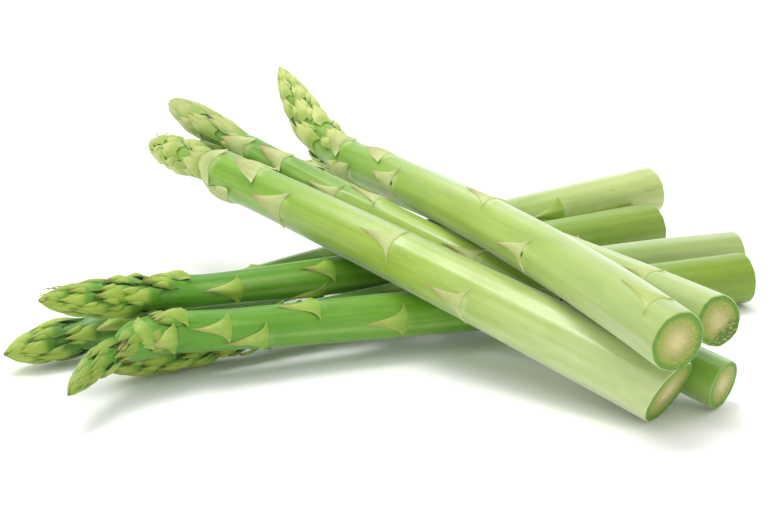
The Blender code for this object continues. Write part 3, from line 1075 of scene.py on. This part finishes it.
class ASPARAGUS_OT_skins(bpy.types.Operator):
    """Make each spear's skin and cut end"""
    bl_idname = "asparagus.skins"
    bl_label = "Skins and cut ends"

    def execute(self, context):
        shape = context.scene.asparagus_shape
        colours = context.scene.asparagus_colours
        stalk = straight_stalk(shape)
        points, faces = mesh_arrays(stalk)
        for spear in SPEAR_LIST:
            materials = [skin_material(spear, colours), cut_material(spear, colours)]
            piece = make_skin(spear, shape, points, faces, materials)
            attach(piece, "root")
            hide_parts(spear.name + "_stalk")
        discard(stalk)
        return {"FINISHED"}


class ASPARAGUS_OT_leaves(bpy.types.Operator):
    """Make the scale leaves along each stem"""
    bl_idname = "asparagus.leaves"
    bl_label = "Scale leaves"

    def execute(self, context):
        shape = context.scene.asparagus_shape
        colours = context.scene.asparagus_colours
        plate = flat_plate(columns=12, rows=16)
        small = flat_plate(columns=6, rows=7)
        small_plate = mesh_arrays(small)
        deselect_all()
        bpy.ops.mesh.primitive_ico_sphere_add(subdivisions=2, radius=1)
        ball = bpy.context.object
        leaf_plate = mesh_arrays(plate)
        crease_shade_ball = mesh_arrays(ball)
        for spear in SPEAR_LIST:
            shapes = [leaf_shape(spear, shape, leaf, *leaf_plate) for leaf in spear.leaves]
            # Dark dots of painted crease shade at some leaves' bases
            for leaf in spear.leaves:
                if leaf["node"] in CREASE_SHADED_LEAVES:
                    shapes.append(crease_shade_shape(spear, shape, leaf, *crease_shade_ball))
            hooded = []
            for leaf in spear.leaves:
                near = leaf["base"] > shape.hood_from * spear.bud_start
                if near and spear.name not in PLAIN_NECKS:
                    hooded += hooded_buds(spear, shape, leaf, small_plate)
            piece = joined_piece(spear.name + "_leaves", shapes, leaf_material(spear, colours))
            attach(piece, "root")
            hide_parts(*spear.leaf_nodes)
            if hooded:
                self.add_hooded(spear, hooded, colours)
        discard(plate)
        discard(small)
        discard(ball)
        return {"FINISHED"}

    def add_hooded(self, spear, shapes, colours):
        finish = bud_material(spear, colours, "_side_buds")
        piece = joined_piece(spear.name + "_side_buds", shapes, finish)
        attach(piece, "root")


class ASPARAGUS_OT_buds(bpy.types.Operator):
    """Make the overlapping scales of each bud"""
    bl_idname = "asparagus.buds"
    bl_label = "Buds"

    def execute(self, context):
        shape = context.scene.asparagus_shape
        colours = context.scene.asparagus_colours
        plate = flat_plate(columns=6, rows=8)
        arrays = mesh_arrays(plate)
        for spear in SPEAR_LIST:
            finish = bud_material(spear, colours, "_bud")
            piece = joined_piece(spear.name + "_bud", bud_shapes(spear, shape, arrays), finish)
            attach(piece, "root")
        discard(plate)
        return {"FINISHED"}


class ASPARAGUS_OT_threads(bpy.types.Operator):
    """Make the few dry threads at two of the tips"""
    bl_idname = "asparagus.threads"
    bl_label = "Dry threads"

    def execute(self, context):
        shape = context.scene.asparagus_shape
        tube = straight_tube(sides=6, rings=24)
        arrays = mesh_arrays(tube)
        for spear in SPEAR_LIST:
            if spear.name not in THREADS:
                continue
            shapes = []
            for back, reach, turn, rise, curl in THREADS[spear.name]:
                start = spear.length - back * MM
                path = thread_path(spear, start, reach * MM, turn, rise * MM, curl)
                shapes.append(thread_shape(path, *arrays, shape.thread_radius))
            piece = joined_piece(spear.name + "_threads", shapes, thread_material(spear))
            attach(piece, "root")
        discard(tube)
        return {"FINISHED"}


class ASPARAGUS_OT_stage(bpy.types.Operator):
    """Set the floor, light and camera"""
    bl_idname = "asparagus.stage"
    bl_label = "Floor, light and camera"

    def execute(self, context):
        stage = context.scene.asparagus_stage
        scene = context.scene
        deselect_all()
        bpy.ops.mesh.primitive_plane_add(size=stage.floor_size)
        floor = bpy.context.object
        floor.name = "floor"
        made, _, shader = new_material("floor")
        set_plain(shader, Base_Color=(*FLOOR, 1), Roughness=0.75)
        floor.data.materials.append(made)
        world = bpy.data.worlds.new("studio")
        world.use_nodes = True
        light = world.node_tree.nodes["Background"]
        light.inputs["Color"].default_value = (1, 1, 1, 1)
        w = Wiring(world.node_tree)
        parts = w.node("ShaderNodeSeparateXYZ")
        w.put(parts.inputs[0], w.node("ShaderNodeTexCoord").outputs["Generated"])
        strength = w.fit(parts.outputs["Y"], 0.0, 0.9, stage.sky, stage.back_sky)
        w.put(light.inputs["Strength"], strength)
        scene.world = world
        self.add_lamp(stage.lamp, stage.lamp_width, tilt=(-8, -11))
        self.add_lamp(stage.fill, stage.fill_width, tilt=(40, -20))
        self.add_lamp(stage.front_lamp, stage.front_width, tilt=(14, -14))
        bpy.ops.object.camera_add()
        camera = bpy.context.object
        camera.data.lens = stage.focal_length
        camera.data.clip_start = 0.01
        down = stage.height_angle
        backwards = Vector((0, -math.cos(down), math.sin(down)))
        camera.location = Vector(stage.aim) + stage.distance * backwards
        camera.rotation_euler = (math.pi / 2 - down, 0, 0)
        scene.camera = camera
        scene.view_settings.view_transform = "Standard"
        return {"FINISHED"}

    def add_lamp(self, strength, width, tilt):
        """A wide soft light from above, tilted about X and Y by degrees."""
        bpy.ops.object.light_add(type="SUN", rotation=[math.radians(t) for t in (*tilt, 0)])
        lamp = bpy.context.object
        lamp.data.energy = strength
        lamp.data.angle = width


class ASPARAGUS_PT_panel(bpy.types.Panel):
    """Lists the steps that make the bunch"""
    bl_idname = "ASPARAGUS_PT_panel"
    bl_label = "Asparagus bunch"
    bl_space_type = "VIEW_3D"
    bl_region_type = "UI"
    bl_category = "Asparagus"

    def draw(self, context):
        for step in STEPS:
            self.layout.operator(step.bl_idname)
        for group in (context.scene.asparagus_shape, context.scene.asparagus_colours,
                      context.scene.asparagus_stage):
            box = self.layout.box()
            for name in group.__annotations__:
                box.prop(group, name)


STEPS = (
    ASPARAGUS_OT_skins,
    ASPARAGUS_OT_leaves,
    ASPARAGUS_OT_buds,
    ASPARAGUS_OT_threads,
    ASPARAGUS_OT_stage,
)
GROUPS = {
    "asparagus_shape": AsparagusShape,
    "asparagus_colours": AsparagusColours,
    "asparagus_stage": AsparagusStage,
}


def register():
    for made in (*GROUPS.values(), *STEPS, ASPARAGUS_PT_panel):
        bpy.utils.register_class(made)
    for name, group in GROUPS.items():
        setattr(bpy.types.Scene, name, bpy.props.PointerProperty(type=group))


def unregister():
    for name in GROUPS:
        delattr(bpy.types.Scene, name)
    for made in reversed((*GROUPS.values(), *STEPS, ASPARAGUS_PT_panel)):
        bpy.utils.unregister_class(made)


def main():
    register()
    for step in STEPS:
        family, name = step.bl_idname.split(".")
        getattr(getattr(bpy.ops, family), name)()


if __name__ == "__main__":
    main()
